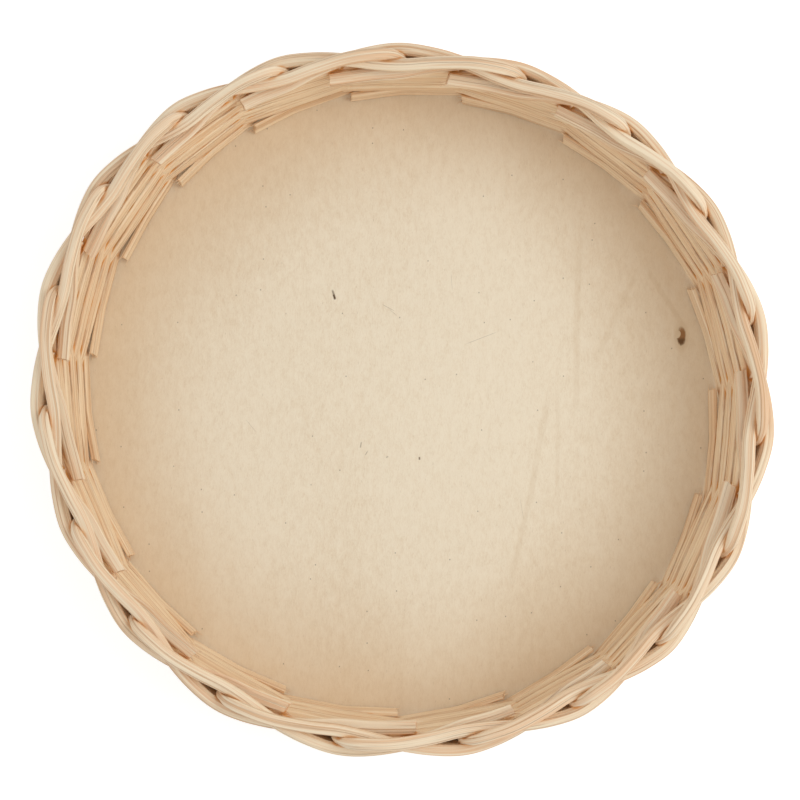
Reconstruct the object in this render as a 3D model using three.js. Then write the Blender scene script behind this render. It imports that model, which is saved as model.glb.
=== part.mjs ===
// Round wicker basket for a serving dish. A plywood board has a ring of holes with one rod through
// each. Below the board the rods are woven into a foot, above it slim weavers climb round them as the
// side, and at the top the same rods are bent over and braided into the border.
// Millimetres, Z up. The origin is the centre of the foot, on the surface that the basket stands on.

import * as THREE from 'three';

// Driving sizes

const STAKE_COUNT = 19;
const RIM_RADIUS = 142.3; // to the stakes' centre line at the border
const WALL_LEAN = 0.17; // how far the side leans out for each millimetre of height
const ROD_WIDTH = 4.2; // of a stake, along the basket's radius
const ROD_HEIGHT = 4.2; // of a stake, across its width: upright where the rod lies level
const SQUEEZED_WIDTH = 2.5; // of a stake where its bend is squeezed between two others
const SQUEEZE_REACH = 9; // along the rod, from there to its full width
const CLEARANCE = 0.3; // left between pieces that bear on each other
const HOLE_PLAY = 0.6; // between a stake and the side of its hole
const FOOT_CUT = 0.5; // how deep the lowest rods are flattened where they stand
const BOARD_THICKNESS = 4;
const BOARD_MARGIN = 4; // board left outside the stakes
const DISH_MARGIN = 17; // from the stakes in to the flat of the board that the dish stands on
const ROW_PITCH = 3.4; // from one row of weaving to the next
const ROW_GAP = 0.6; // between rows where the weavers cross
const FLAT_GAP = 1.2; // between weavers that lie above each other on one side of a stake
const PASSED_STAKES = 9; // stakes that a weaver goes round after the one that it starts inside
const START_OVERLAP = 0.42; // of a gap, that a weaver's free end reaches past its first stake
const END_OVERLAP = 0.25; // of a gap, that a weaver goes on past its last stake
const PRESSED_THICKNESS = 1.6; // of a weaver where it is pressed flat on a stake
const CROSSING_THICKNESS = 2.5; // of a weaver between two stakes, where it crosses others
const BEARING = 0.1; // of a gap, on each side of a stake, that a weaver lies round its outside
const CROSSING = 0.14; // of a gap, on each side of its middle, where weavers cross
const START_LEAN = 1.3; // how far a weaver's free end stands inward from the wall

const FIRST_STAKE_ANGLE = 13.5; // degrees from +X
// The stakes are set by hand, a little unevenly: [waves in a round, degrees, degrees to the crest]
const SPACING_WAVES = [[2, 1.55, -169], [4, 1.0, 20]];
// The border is a little out of round: [waves in a round, share of its radius, degrees to a crest]
const RIM_WAVES = [[2, 0.022, -14], [3, 0.0096, 24], [4, 0.0043, -34]];

// How a rod runs, as [gaps past its own stake, rod widths outward, rod heights up].
// The foot goes from the cut end to the stake. A rod passes inside the next stake and over the next rod.
const FOOT_PATH = [
  [1.5, -0.66, 1.04], [1.25, -0.98, 0.92], [1.0, -1.02, 0.6], [0.75, -0.74, 0.25],
  [0.5, -0.38, 0.02], [0.25, -0.1, 0], [0.1, 0, 0.03], [0.03, 0, 0.3], [0, 0, 0.75],
];
// The border goes from the stake to the cut end: inside one stake, outside the second as the lobe of
// the outline, then inside the third.
const BORDER_PATH = [
  [0.01, 0.03, 0.4], [0.04, 0.07, 1.0], [0.065, 0.07, 1.5], [0.1, 0.05, 1.92], [0.16, -0.02, 2.28],
  [0.26, -0.12, 2.46], [0.36, -0.18, 2.46], [0.5, -0.29, 2.2], [0.75, -0.59, 1.72], [1.0, -0.82, 1.3],
  [1.2, -0.64, 1.1], [1.5, 0.02, 1.02], [1.75, 0.57, 0.72], [2.0, 0.93, 0.36], [2.22, 0.76, 0.14],
  [2.5, 0.19, 0.02], [2.75, -0.5, 0.01], [3.0, -1.08, -0.26], [3.25, -1.18, -0.5], [3.58, -1.3, -0.48],
];
const SQUEEZED_POINT = BORDER_PATH[1]; // where the bend is narrowest

// How finely the rods are faceted

const ROD_SIDES = 6;
const BEND_STEP = 24; // the most degrees that a rod turns from one ring of points to the next
const CHORD_SHARE = 0.038; // the most that its facets stray from its curve, as a share of its height
const UPRIGHT_PARTS = 3; // stretches of a rod's path from the board to the border
const HOLE_SIDES = 6;
const BOARD_SIDES = 3 * STAKE_COUNT;

// Sizes that follow from these

const ROD_PITCH_OUT = ROD_WIDTH + CLEARANCE; // between the centres of rods side by side
const ROD_PITCH_UP = ROD_HEIGHT + CLEARANCE; // between the centres of rods one above the other
const FINE_STEP = ROD_HEIGHT / 4; // between the points among which a rod's rings are chosen
const WALL_SLANT = Math.atan(WALL_LEAN);
const PRESSED_HEIGHT = 2 * ROW_PITCH - FLAT_GAP;
const CROSSING_HEIGHT = ROW_PITCH - ROW_GAP;
const WEAVE_OFFSET = (ROD_WIDTH + PRESSED_THICKNESS) / 2 + CLEARANCE;
const FOOT_Z = ROD_HEIGHT / 2 - FOOT_CUT; // centre of a rod that lies on the ground
const BOARD_BOTTOM = FOOT_Z + FOOT_PATH[0][2] * ROD_PITCH_UP + ROD_HEIGHT / 2 + CLEARANCE;
const BOARD_TOP = BOARD_BOTTOM + BOARD_THICKNESS;
const FIRST_ROW_Z = BOARD_TOP + CLEARANCE + PRESSED_HEIGHT / 2;
// The tails of the border lie just above the last weavers that pass inside.
const LAST_INSIDE_ROW = PASSED_STAKES - (PASSED_STAKES % 2);
const LAST_INSIDE_TOP = FIRST_ROW_Z + LAST_INSIDE_ROW * ROW_PITCH + PRESSED_HEIGHT / 2
  + WEAVE_OFFSET * Math.sin(WALL_SLANT);
const TAIL_DROP = -BORDER_PATH.at(-3)[2] * ROD_PITCH_UP;
const BORDER_Z = LAST_INSIDE_TOP + CLEARANCE + ROD_HEIGHT / 2 + TAIL_DROP;
const BASE_RADIUS = RIM_RADIUS - WALL_LEAN * (BORDER_Z - BOARD_TOP);
const BOARD_RADIUS = BASE_RADIUS + ROD_WIDTH / 2 + BOARD_MARGIN;
const DISH_RADIUS = BASE_RADIUS - DISH_MARGIN;
const HOLE_RADIUS = (ROD_WIDTH / 2 + HOLE_PLAY) / Math.cos(Math.PI / HOLE_SIDES);

const ROD_MATERIAL = { color: 0xe4d1b0, roughness: 0.62, metalness: 0 };
const WEAVER_MATERIAL = { color: 0xdcc19a, roughness: 0.68, metalness: 0 };
const BOARD_MATERIAL = { color: 0xdfc9a8, roughness: 0.6, metalness: 0 };

// Places round the basket. A turn counts stakes, so turn 2.5 is midway between the third and fourth.

function stakeAngle(turn) {
  const round = (2 * Math.PI * turn) / STAKE_COUNT;
  let degrees = FIRST_STAKE_ANGLE + THREE.MathUtils.radToDeg(round);
  for (const [waves, size, crest] of SPACING_WAVES) {
    degrees += size * Math.cos(waves * round - THREE.MathUtils.degToRad(crest));
  }
  return THREE.MathUtils.degToRad(degrees);
}

// The side is round at the board and takes on the border's shape as it rises.
function outOfRound(angle, height) {
  const share = THREE.MathUtils.clamp((height - BOARD_TOP) / (BORDER_Z - BOARD_TOP), 0, 1);
  let swell = 0;
  for (const [waves, size, crest] of RIM_WAVES) {
    swell += size * Math.cos(waves * (angle - THREE.MathUtils.degToRad(crest)));
  }
  return share * swell * RIM_RADIUS;
}

function place(turn, outward, height) {
  const angle = stakeAngle(turn);
  const rise = THREE.MathUtils.clamp(height, BOARD_TOP, BORDER_Z) - BOARD_TOP;
  const radius = BASE_RADIUS + WALL_LEAN * rise + outOfRound(angle, height) + outward;
  return new THREE.Vector3(radius * Math.cos(angle), radius * Math.sin(angle), height);
}

// A point square out from the wall's middle surface, and the direction straight up the wall there.
function beside(turn, outward, height) {
  const middle = place(turn, 0, height);
  const up = place(turn, 0, height + ROW_PITCH / 2).sub(place(turn, 0, height - ROW_PITCH / 2)).normalize();
  const radial = new THREE.Vector3(middle.x, middle.y, 0).normalize();
  const normal = radial.addScaledVector(up, -radial.dot(up)).normalize();
  return { at: middle.addScaledVector(normal, outward), up };
}

// A closed solid through rings of points. A ring is { at, across, along }, two half-axes of its ellipse
// or of its rectangle, with across x along pointing the way that the rod runs.

function loft(rings, corners) {
  const sides = corners.length;
  const positions = [];
  for (const { at, across, along } of rings) {
    for (const [c, s] of corners) {
      const point = at.clone().addScaledVector(across, c).addScaledVector(along, s);
      positions.push(point.x, point.y, Math.max(point.z, 0));
    }
  }
  const faces = [];
  for (let ring = 0; ring < rings.length - 1; ring += 1) {
    for (let side = 0; side < sides; side += 1) {
      const a = ring * sides + side;
      const b = ring * sides + ((side + 1) % sides);
      faces.push(a, b, b + sides, a, b + sides, a + sides);
    }
  }
  const last = (rings.length - 1) * sides;
  for (let side = 1; side < sides - 1; side += 1) {
    faces.push(0, side + 1, side, last, last + side, last + side + 1);
  }
  const solid = new THREE.BufferGeometry();
  solid.setAttribute('position', new THREE.Float32BufferAttribute(positions, 3));
  solid.setIndex(faces);
  return solid;
}

function ellipseCorners(sides) {
  return Array.from({ length: sides }, (_, side) => {
    const angle = (2 * Math.PI * side) / sides;
    return [Math.cos(angle), Math.sin(angle)];
  });
}

const RECTANGLE_CORNERS = [[1, 1], [-1, 1], [-1, -1], [1, -1]];

// Stakes

// How far the fine points between two of them lie from the straight line that joins those two.
function chordError(points, first, last) {
  const chord = new THREE.Line3(points[first], points[last]);
  const foot = new THREE.Vector3();
  let error = 0;
  for (let step = first + 1; step < last; step += 1) {
    chord.closestPointToPoint(points[step], true, foot);
    error = Math.max(error, foot.distanceTo(points[step]));
  }
  return error;
}

// Rings as far apart as the facets may stray from the rod's curve and as it may turn between them.
function ringsAlong(curve, squeezed) {
  const fineSteps = Math.ceil(curve.getLength() / FINE_STEP);
  const points = curve.getSpacedPoints(fineSteps);
  const ways = points.map((_, step) => curve.getTangentAt(step / fineSteps));
  const kept = [0];
  for (let step = 2; step <= fineSteps; step += 1) {
    const last = kept.at(-1);
    const strays = chordError(points, last, step) > CHORD_SHARE * ROD_HEIGHT;
    const turns = THREE.MathUtils.radToDeg(ways[last].angleTo(ways[step])) > BEND_STEP;
    if (strays || turns) kept.push(step - 1);
  }
  kept.push(fineSteps);
  return kept.map((step) => {
    const at = points[step];
    const radial = new THREE.Vector3(at.x, at.y, 0).normalize();
    const across = radial.addScaledVector(ways[step], -radial.dot(ways[step])).normalize();
    const along = ways[step].clone().cross(across);
    const share = Math.min(at.distanceTo(squeezed) / SQUEEZE_REACH, 1);
    const width = THREE.MathUtils.lerp(SQUEEZED_WIDTH, ROD_WIDTH, share);
    return {
      at,
      across: across.multiplyScalar(width / 2),
      along: along.multiplyScalar(ROD_HEIGHT / 2),
    };
  });
}

function stakeSolid(stake) {
  const route = ([gaps, widths, heights], floor) => place(
    stake + gaps,
    widths * ROD_PITCH_OUT,
    floor + heights * ROD_PITCH_UP,
  );
  const points = FOOT_PATH.map((point) => route(point, FOOT_Z));
  points.push(place(stake, 0, BOARD_BOTTOM), place(stake, 0, BOARD_TOP));
  for (let part = 1; part <= UPRIGHT_PARTS; part += 1) {
    points.push(place(stake, 0, THREE.MathUtils.lerp(BOARD_TOP, BORDER_Z, part / UPRIGHT_PARTS)));
  }
  points.push(...BORDER_PATH.map((point) => route(point, BORDER_Z)));
  const curve = new THREE.CatmullRomCurve3(points, false, 'centripetal');
  const squeezed = route(SQUEEZED_POINT, BORDER_Z);
  return loft(ringsAlong(curve, squeezed), ellipseCorners(ROD_SIDES));
}

// Weavers

// A weaver starts inside its own stake and goes clockwise and up, outside one stake and inside the next.
// A mark on it counts the stakes that it has passed. It bends only round the outside of a stake.

function isOutside(passed) {
  return passed % 2 === 1;
}

function bearingSpot(stake, mark) {
  const side = isOutside(Math.round(mark)) ? 1 : -1;
  return beside(stake - mark, side * WEAVE_OFFSET, FIRST_ROW_Z + mark * ROW_PITCH);
}

// The straight run of a weaver between its bearings on two stakes.
function crossingSpot(stake, mark) {
  const passed = Math.floor(mark);
  const leaves = passed + (isOutside(passed) ? BEARING : 0);
  const lands = passed + 1 - (isOutside(passed + 1) ? BEARING : 0);
  const [from, to] = [bearingSpot(stake, leaves), bearingSpot(stake, lands)];
  const share = (mark - leaves) / (lands - leaves);
  return { at: from.at.lerp(to.at, share), up: from.up.lerp(to.up, share) };
}

function weaverSolid(stake) {
  const pressed = [PRESSED_THICKNESS, PRESSED_HEIGHT];
  const crossing = [CROSSING_THICKNESS, CROSSING_HEIGHT];
  const freeEnd = beside(stake + START_OVERLAP, -WEAVE_OFFSET - START_LEAN, FIRST_ROW_Z);
  const spots = [{ ...freeEnd, section: pressed }];
  for (let passed = 0; passed <= PASSED_STAKES; passed += 1) {
    const bearing = isOutside(passed) ? [passed - BEARING, passed, passed + BEARING] : [passed];
    spots.push(...bearing.map((mark) => ({ ...bearingSpot(stake, mark), section: pressed })));
    const last = passed === PASSED_STAKES;
    const middle = passed + 0.5;
    const marks = last ? [passed + END_OVERLAP] : [middle - CROSSING, middle + CROSSING];
    spots.push(...marks.map((mark) => ({ ...crossingSpot(stake, mark), section: crossing })));
  }
  const ways = spots.slice(1).map(({ at }, step) => at.clone().sub(spots[step].at).normalize());
  const rings = spots.map(({ at, up, section: [thickness, tall] }, step) => {
    const way = (ways[step - 1] ?? ways[step]).clone().add(ways[step] ?? ways[step - 1]).normalize();
    const along = up.clone().addScaledVector(way, -up.dot(way)).normalize();
    const across = along.clone().cross(way);
    return {
      at,
      across: across.multiplyScalar(thickness / 2),
      along: along.multiplyScalar(tall / 2),
    };
  });
  return loft(rings, RECTANGLE_CORNERS);
}

// Board

function circle(radius, sides, x = 0, y = 0) {
  return ellipseCorners(sides).map(([c, s]) => new THREE.Vector2(x + radius * c, y + radius * s));
}

// The board's top and bottom have a plain flat in the middle and a ring with the stake holes round it.
function boardSolid() {
  const rim = circle(BOARD_RADIUS, BOARD_SIDES);
  const holes = Array.from({ length: STAKE_COUNT }, (_, stake) => {
    const { x, y } = place(stake, 0, BOARD_TOP);
    return circle(HOLE_RADIUS, HOLE_SIDES, x, y);
  });
  const flat = circle(DISH_RADIUS, 2 * STAKE_COUNT);
  const corners = [...rim, ...holes.flat(), ...flat, new THREE.Vector2(0, 0)];
  const hub = corners.length - 1;
  const flatStart = hub - flat.length;
  const triangles = THREE.ShapeUtils.triangulateShape(rim, [...holes, flat]);
  for (let side = 0; side < flat.length; side += 1) {
    triangles.push([flatStart + side, flatStart + ((side + 1) % flat.length), hub]);
  }
  const positions = corners.flatMap(({ x, y }) => [x, y, BOARD_TOP, x, y, BOARD_BOTTOM]);
  const faces = [];
  for (const triangle of triangles) {
    const [p, q, r] = triangle.map((corner) => corners[corner]);
    const turn = q.clone().sub(p).cross(r.clone().sub(p));
    const [a, b, c] = turn > 0 ? triangle : [...triangle].reverse();
    faces.push(2 * a, 2 * b, 2 * c, 2 * c + 1, 2 * b + 1, 2 * a + 1);
  }
  const wall = (start, count, outward) => {
    for (let side = 0; side < count; side += 1) {
      const pair = [start + side, start + ((side + 1) % count)];
      const [a, b] = outward ? pair : pair.reverse();
      faces.push(2 * a + 1, 2 * b + 1, 2 * b, 2 * a + 1, 2 * b, 2 * a);
    }
  };
  wall(0, rim.length, true);
  holes.forEach((hole, stake) => wall(rim.length + stake * hole.length, hole.length, false));
  const solid = new THREE.BufferGeometry();
  solid.setAttribute('position', new THREE.Float32BufferAttribute(positions, 3));
  solid.setIndex(faces);
  return solid;
}

// Assembly

const basket = new THREE.Group();

function addPiece(name, solid, material) {
  const piece = new THREE.Mesh(solid, new THREE.MeshStandardMaterial(material));
  piece.name = name;
  solid.computeVertexNormals();
  basket.add(piece);
}

addPiece('base_board', boardSolid(), BOARD_MATERIAL);
for (let stake = 0; stake < STAKE_COUNT; stake += 1) {
  const number = String(stake + 1).padStart(2, '0');
  addPiece(`stake_${number}`, stakeSolid(stake), ROD_MATERIAL);
  addPiece(`weaver_${number}`, weaverSolid(stake), WEAVER_MATERIAL);
}

export default basket;
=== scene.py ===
"""Looks of a round wicker basket for a serving dish.

A plywood board is pierced by a ring of rods. Below the board the rods are woven into a foot, above it
split weavers climb round them as the side, and at the top the same rods are braided into the border.
All lengths are in metres and Z is up. A turn counts stakes: turn 2.5 is midway between the third and
the fourth stake, and a gap is the way from one stake to the next.
"""

import math

import bmesh
import bpy
import numpy as np
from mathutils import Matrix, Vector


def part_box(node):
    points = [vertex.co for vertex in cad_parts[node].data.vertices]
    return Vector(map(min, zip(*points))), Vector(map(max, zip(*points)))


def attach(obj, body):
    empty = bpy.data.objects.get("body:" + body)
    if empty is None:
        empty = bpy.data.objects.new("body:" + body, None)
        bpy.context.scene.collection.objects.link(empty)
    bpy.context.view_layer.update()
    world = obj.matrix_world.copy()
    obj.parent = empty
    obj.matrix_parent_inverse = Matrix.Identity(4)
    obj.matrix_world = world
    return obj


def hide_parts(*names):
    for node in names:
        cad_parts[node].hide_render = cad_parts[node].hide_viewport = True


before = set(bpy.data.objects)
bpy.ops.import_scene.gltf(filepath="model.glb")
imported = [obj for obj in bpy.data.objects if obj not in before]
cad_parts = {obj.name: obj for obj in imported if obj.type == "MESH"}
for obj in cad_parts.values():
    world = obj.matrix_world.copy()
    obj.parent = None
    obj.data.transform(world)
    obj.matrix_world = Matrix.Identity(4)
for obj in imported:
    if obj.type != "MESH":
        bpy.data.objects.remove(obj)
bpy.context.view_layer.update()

bl_info = {
    "name": "Wicker Basket",
    "version": (1, 0, 0),
    "blender": (4, 5, 0),
    "location": "View3D > Sidebar > Basket",
    "description": "Builds a round wicker basket with a plywood base board and a braided border",
    "category": "Add Mesh",
}

MM = 0.001
STAKE_COUNT = sum(name.startswith("stake_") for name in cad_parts)
BOARD_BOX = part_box("base_board")
BOARD_BOTTOM = BOARD_BOX[0].z
BOARD_TOP = BOARD_BOX[1].z
BOARD_RADIUS = (BOARD_BOX[1].x - BOARD_BOX[0].x) / 2

# The stakes are set by hand, a little unevenly: (waves in a round, degrees, degrees to the crest).
FIRST_STAKE_ANGLE = 13.5
SPACING_WAVES = ((2, 1.55, -169), (4, 1.0, 20))
# The border is a little out of round: (waves in a round, share of its radius, degrees to a crest).
RIM_WAVES = ((2, 0.022, -14), (3, 0.0096, 24), (4, 0.0043, -34))

# How a rod runs, as (gaps past its own stake, rod widths outward, rod heights up). The foot goes from
# the cut end to the stake, inside the next stake and over the next rod. The border goes from the stake
# to the cut end: inside one stake, outside the second as the lobe of the outline, inside the third.
FOOT_PATH = (
    (1.5, -0.66, 1.04), (1.25, -0.98, 0.92), (1.0, -1.02, 0.6), (0.75, -0.74, 0.25), (0.5, -0.38, 0.02),
    (0.25, -0.1, 0), (0.1, 0, 0.03), (0.03, 0, 0.3), (0, 0, 0.75),
)
BORDER_PATH = (
    (0.01, 0.03, 0.4), (0.04, 0.07, 1.0), (0.065, 0.07, 1.5), (0.1, 0.05, 1.92), (0.16, -0.02, 2.28),
    (0.26, -0.12, 2.46), (0.36, -0.18, 2.46), (0.5, -0.29, 2.2), (0.75, -0.59, 1.72), (1, -0.82, 1.3),
    (1.2, -0.64, 1.1), (1.5, 0.02, 1.02), (1.75, 0.57, 0.72), (2, 0.93, 0.36), (2.22, 0.76, 0.14),
    (2.5, 0.19, 0.02), (2.75, -0.5, 0.01), (3, -1.08, -0.26), (3.25, -1.18, -0.5), (3.58, -1.3, -0.48),
)
SQUEEZED_POINT = BORDER_PATH[1]
UPRIGHT_PARTS = 3
TAIL_HEIGHT = BORDER_PATH[-3][2]

# Sizes and colours that a user would change


def length_setting(name, description, default, least=0.001):
    """A length in metres."""
    return bpy.props.FloatProperty(
        name=name, description=description, default=default, min=least, unit="LENGTH"
    )


def colour_setting(name, description, default):
    """A colour as seen on a screen."""
    return bpy.props.FloatVectorProperty(
        name=name, description=description, default=default, size=3, min=0.0, max=1.0,
        subtype="COLOR_GAMMA",
    )


class BasketSizes(bpy.types.PropertyGroup):
    """The sizes that the basket's pieces are worked out from."""

    rim_radius: length_setting("Rim radius", "From the middle to the border's stakes", 0.1423, 0.05)
    wall_lean: bpy.props.FloatProperty(
        name="Wall lean", description="How far the side leans out for its height",
        default=0.17, min=0.0, max=1.0, subtype="FACTOR",
    )
    rod_width: length_setting("Rod width", "Of a stake, along the basket's radius", 0.0042)
    rod_height: length_setting("Rod height", "Of a stake, upright where it lies level", 0.0042)
    squeezed_width: length_setting("Squeezed width", "Of a stake where its bend is squeezed", 0.0025)
    squeeze_reach: length_setting("Squeeze reach", "From that bend to the rod's full width", 0.009)
    clearance: length_setting("Clearance", "Between the construction's pieces", 0.0003, 0.0)
    foot_cut: length_setting("Foot cut", "How deep the foot's rods are flattened", 0.0005, 0.0)
    row_pitch: length_setting("Row pitch", "From one row of weaving to the next", 0.0034)
    pressed_thickness: length_setting("Pressed thickness", "Of a weaver on a stake", 0.0020, 0.0005)
    pressed_height: length_setting("Pressed height", "Of a weaver on a stake", 0.0066)
    crossing_thickness: length_setting("Crossing thickness", "Where weavers cross", 0.0022, 0.0005)
    crossing_height: length_setting("Crossing height", "Where weavers cross", 0.0055)
    passed_stakes: bpy.props.IntProperty(
        name="Stakes passed", description="By a weaver after the one that it starts inside",
        default=9, min=1,
    )


class BasketColours(bpy.types.PropertyGroup):
    """The colours of the basket's finishes."""

    rod: colour_setting("Peeled rod", "Main colour of the rods", (0.960, 0.886, 0.768))
    rod_streak: colour_setting("Rod streak", "Tan of the rods' streaks", (0.905, 0.750, 0.597))
    weaver: colour_setting("Split weaver", "Main colour of the weavers", (0.968, 0.878, 0.744))
    weaver_streak: colour_setting("Weaver streak", "Tan of the weavers' fibres", (0.905, 0.755, 0.592))
    board: colour_setting("Board", "Main colour of the plywood", (0.895, 0.812, 0.690))
    board_grain: colour_setting("Board grain", "The plywood's fine grain", (0.835, 0.728, 0.580))
    # Painted light: the board's paler middle, which leaves it darker towards the wall as if in the
    # wall's shade.
    board_painted_light: colour_setting("Board's painted light", "The plywood's pale middle", (0.955, 0.905, 0.810))
    knot: colour_setting("Knot", "The knot's dark foot, the marks and the specks", (0.36, 0.26, 0.15))


# Places on the wall

# A weaver's solid in the construction, pressed on a stake. The rows are spaced for it.
SOLID_THICKNESS = 1.6 * MM
SOLID_HEIGHT = 5.6 * MM
CURVE_POINTS = 40  # on each stretch of a smooth line, before it is cut into even steps


def stake_angle(turn):
    """Angle of a turn round the basket: even steps, plus the waves of the hand-set spacing."""
    step = 2 * np.pi * np.asarray(turn, float) / STAKE_COUNT
    degrees = FIRST_STAKE_ANGLE + np.degrees(step)
    for waves, size, crest in SPACING_WAVES:
        degrees = degrees + size * np.cos(waves * step - math.radians(crest))
    return np.radians(degrees)


class Wall:
    """The middle surface of the side, round at the board and out of round at the border."""

    def __init__(self, sizes):
        self.sizes = sizes
        self.pitch_out = sizes.rod_width + sizes.clearance
        self.pitch_up = sizes.rod_height + sizes.clearance
        self.foot_z = sizes.rod_height / 2 - sizes.foot_cut
        self.weave_offset = (self.pitch_out + SOLID_THICKNESS + sizes.clearance) / 2
        self.first_row = BOARD_TOP + sizes.clearance + SOLID_HEIGHT / 2
        self.slant = math.atan(sizes.wall_lean)
        last_inside = sizes.passed_stakes - sizes.passed_stakes % 2
        top = self.first_row + last_inside * sizes.row_pitch + SOLID_HEIGHT / 2
        top += self.weave_offset * math.sin(self.slant)
        self.border = top + sizes.clearance + sizes.rod_height / 2 - TAIL_HEIGHT * self.pitch_up
        self.base_radius = sizes.rim_radius - sizes.wall_lean * (self.border - BOARD_TOP)

    def place(self, turn, outward, height):
        """Points at a turn and a height, a distance outward from the wall.

        The wall leans out from the board's ring of stakes and gains the border's waves as it rises.
        """
        angle = stake_angle(turn)
        height = np.asarray(height, float)
        rise = np.clip(height, BOARD_TOP, self.border) - BOARD_TOP
        swell = sum(
            size * np.cos(waves * (angle - math.radians(crest))) for waves, size, crest in RIM_WAVES
        )
        share = rise / (self.border - BOARD_TOP)
        radius = self.base_radius + self.sizes.wall_lean * rise
        radius = radius + share * swell * self.sizes.rim_radius + outward
        return np.stack(
            np.broadcast_arrays(radius * np.cos(angle), radius * np.sin(angle), height), axis=-1
        )


def unit(vectors):
    """Vectors divided by their lengths."""
    return vectors / np.linalg.norm(vectors, axis=-1, keepdims=True)


def run_along(line):
    """Distance along a line at each of its points."""
    return np.concatenate([[0], np.cumsum(np.linalg.norm(np.diff(line, axis=0), axis=1))])


def smooth_line(points, step):
    """A centripetal Catmull-Rom curve through the points, cut into even steps of arc length.

    Each stretch is a cubic Hermite curve. Its end slopes come from the three chords round it, each
    weighed by the square root of its length.
    """
    points = np.asarray(points, float)
    ends = 2 * points[[0, -1]] - points[[1, -2]]
    around = np.concatenate([ends[:1], points, ends[1:]])
    spans = np.sqrt(np.linalg.norm(np.diff(around, axis=0), axis=1))[:, None]
    before, span, after = spans[:-2], spans[1:-1], spans[2:]
    p0, p1, p2, p3 = around[:-3], around[1:-2], around[2:-1], around[3:]
    start = span * ((p1 - p0) / before - (p2 - p0) / (before + span) + (p2 - p1) / span)
    finish = span * ((p2 - p1) / span - (p3 - p1) / (span + after) + (p3 - p2) / after)
    t = np.linspace(0, 1, CURVE_POINTS, endpoint=False)[None, :, None]
    a, b, c, d = (value[:, None, :] for value in (p1, p2, start, finish))
    fine = (
        (2 * t**3 - 3 * t**2 + 1) * a + (3 * t**2 - 2 * t**3) * b
        + (t**3 - 2 * t**2 + t) * c + (t**3 - t**2) * d
    )
    return even_steps(np.concatenate([fine.reshape(-1, 3), points[-1:]]), step)


def even_steps(line, step):
    """The same line, cut into even steps of arc length."""
    run = run_along(line)
    at = np.linspace(0, run[-1], int(math.ceil(run[-1] / step)) + 1)
    return np.stack([np.interp(at, run, line[:, axis]) for axis in range(3)], axis=1)


# Meshes

CANE_SHARP = 50  # degrees between two faces from which their edge is sharp
BOARD_SHARP = 35


def finish_mesh(name, vertices, faces, strand=None, cut=None, sharp=CANE_SHARP):
    """A mesh object at the origin, with the surface attributes that its finish reads."""
    mesh = bpy.data.meshes.new(name)
    mesh.from_pydata(vertices.tolist(), [], faces)
    if strand is not None:
        attribute = mesh.attributes.new("strand", "FLOAT_VECTOR", "POINT")
        attribute.data.foreach_set("vector", strand.astype(np.float32).ravel())
        mark(mesh, "cut", cut)
    mesh.shade_smooth()
    mesh.set_sharp_from_angle(angle=math.radians(sharp))
    piece = bpy.data.objects.new(name, mesh)
    bpy.context.scene.collection.objects.link(piece)
    return piece


def mark(mesh, name, values):
    """Keeps one number for each vertex as an attribute of the mesh."""
    mesh.attributes.new(name, "FLOAT", "POINT").data.foreach_set("value", values.astype(np.float32))


def dress(piece, material, node):
    """Gives a piece its finish and its body, and hides the node of the construction that it stands for.
    """
    piece.data.materials.append(material)
    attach(piece, "root")
    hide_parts(node)


def grid_faces(rows, columns, start=0):
    """Quads of a grid of points, row after row, with its last column joined to its first."""
    row = start + np.arange(rows - 1)[:, None] * columns
    column = np.arange(columns)[None, :]
    following = (column + 1) % columns
    quads = np.stack(
        [row + column, row + following, row + columns + following, row + columns + column], axis=-1
    )
    return quads.reshape(-1, 4).tolist()


def tube_faces(rings, sides):
    """Quads between neighbouring rings of points, and a cap of triangles round a pole at each end.

    The poles are the two points after the last ring.
    """
    side = np.arange(sides)
    following = (side + 1) % sides
    last = (rings - 1) * sides
    pole = np.full(sides, rings * sides)
    first_cap = np.stack([following, side, pole], axis=-1)
    last_cap = np.stack([last + side, last + following, pole + 1], axis=-1)
    return grid_faces(rings, sides) + first_cap.tolist() + last_cap.tolist()


# Canes

CANE_SIDES = 36
# The phase, drift, swing and pace of a ridge: the least of each, then the most.
RIDGE_RANGES = ((0, -12, 0.1, 10), (2 * np.pi, 12, 0.5, 40))
CORNER_POWER = 16
FACET_SHIFT = 0.3  # of a side, that each is turned at most
FACET_TWIST = 5  # the most radians in a metre that they twist
FACET_SWAY = 0.25  # radians that they sway besides
FACET_SWAY_PACE = (20, 50)  # radians in a metre
FIBRE_WIDTH = 0.45 * MM
FIBRE_TAPER = 0.8  # of that width, lost by its tip
FIBRE_ROOT = 0.3  # of its length, hidden in the cane
FIBRE_DEPTH = 0.9  # of the way from the cane's middle to its surface
FIBRE_POINTS = 7
FIBRE_SIDES = 5
FRAY_COUNT = 3  # fibres at a cut end
FRAY_LENGTH = (1.2 * MM, 3.2 * MM)


def ripple(around, along, waves, rng):
    """Lengthwise ridges of a cane: a sum of cosines round it that drift slowly along it."""
    total = np.zeros(np.broadcast(around, along).shape)
    for count, size in waves:
        phase, drift, swing, pace = rng.uniform(*RIDGE_RANGES)
        total += size * np.cos(count * around + phase + drift * along + swing * np.sin(pace * along))
    return total


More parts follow.
